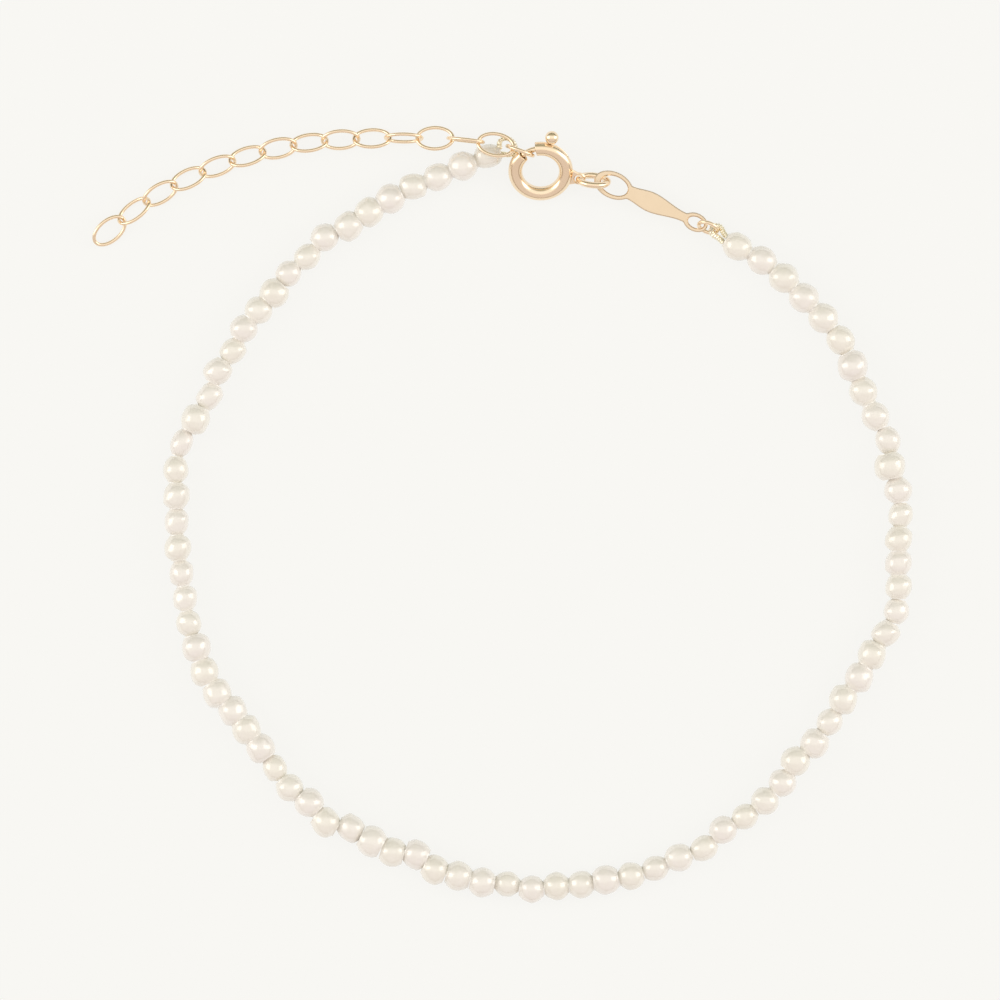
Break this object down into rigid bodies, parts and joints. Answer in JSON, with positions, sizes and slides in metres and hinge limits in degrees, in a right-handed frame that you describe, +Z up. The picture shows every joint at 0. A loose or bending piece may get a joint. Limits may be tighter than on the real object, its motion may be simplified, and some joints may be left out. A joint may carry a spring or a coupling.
{
  "type": "pearl bracelet",
  "caption": "Closed string of small off-white freshwater pearls with a gold spring ring clasp, a bare gold tag and a fine link extender chain, lying flat.",
  "frame": {"origin": "middle of the bounding box, on the surface that the bracelet lies on", "axes": "+Z up from the surface, +X to the right and +Y to the top of the picture, clasp towards +Y"},
  "size_m": [0.0634, 0.06, 0.0035],
  "materials": {
    "pearl": "soft nacre lustre",
    "gimp": "fine wound wire",
    "gold": "polished pale gold"
  },
  "bodies": {
    "root": {"pearl_string": "pearl", "left_gimp_loop": "gimp", "right_gimp_loop": "gimp", "left_jump_ring": "gold", "right_jump_ring": "gold", "tag": "gold", "tag_ring": "gold", "spring_ring": "gold", "extender_link_01": "gold", "extender_link_02": "gold", "extender_link_03": "gold", "extender_link_04": "gold", "extender_link_05": "gold", "extender_link_06": "gold", "extender_link_07": "gold", "extender_link_08": "gold", "extender_link_09": "gold", "extender_link_10": "gold", "extender_link_11": "gold", "extender_link_12": "gold", "extender_link_13": "gold", "extender_link_14": "gold"},
    "trigger": {"spring_ring_trigger": "gold"}
  },
  "joints": [
    {"name": "trigger_slide", "type": "hinge", "parent": "root", "child": "trigger", "pos_m": [0.00297, 0.02646, 0.00153], "axis": [0, 0.4939, -0.8695], "range_deg": [0, 38], "stiffness_Nm_per_rad": 0.001}
  ]
}
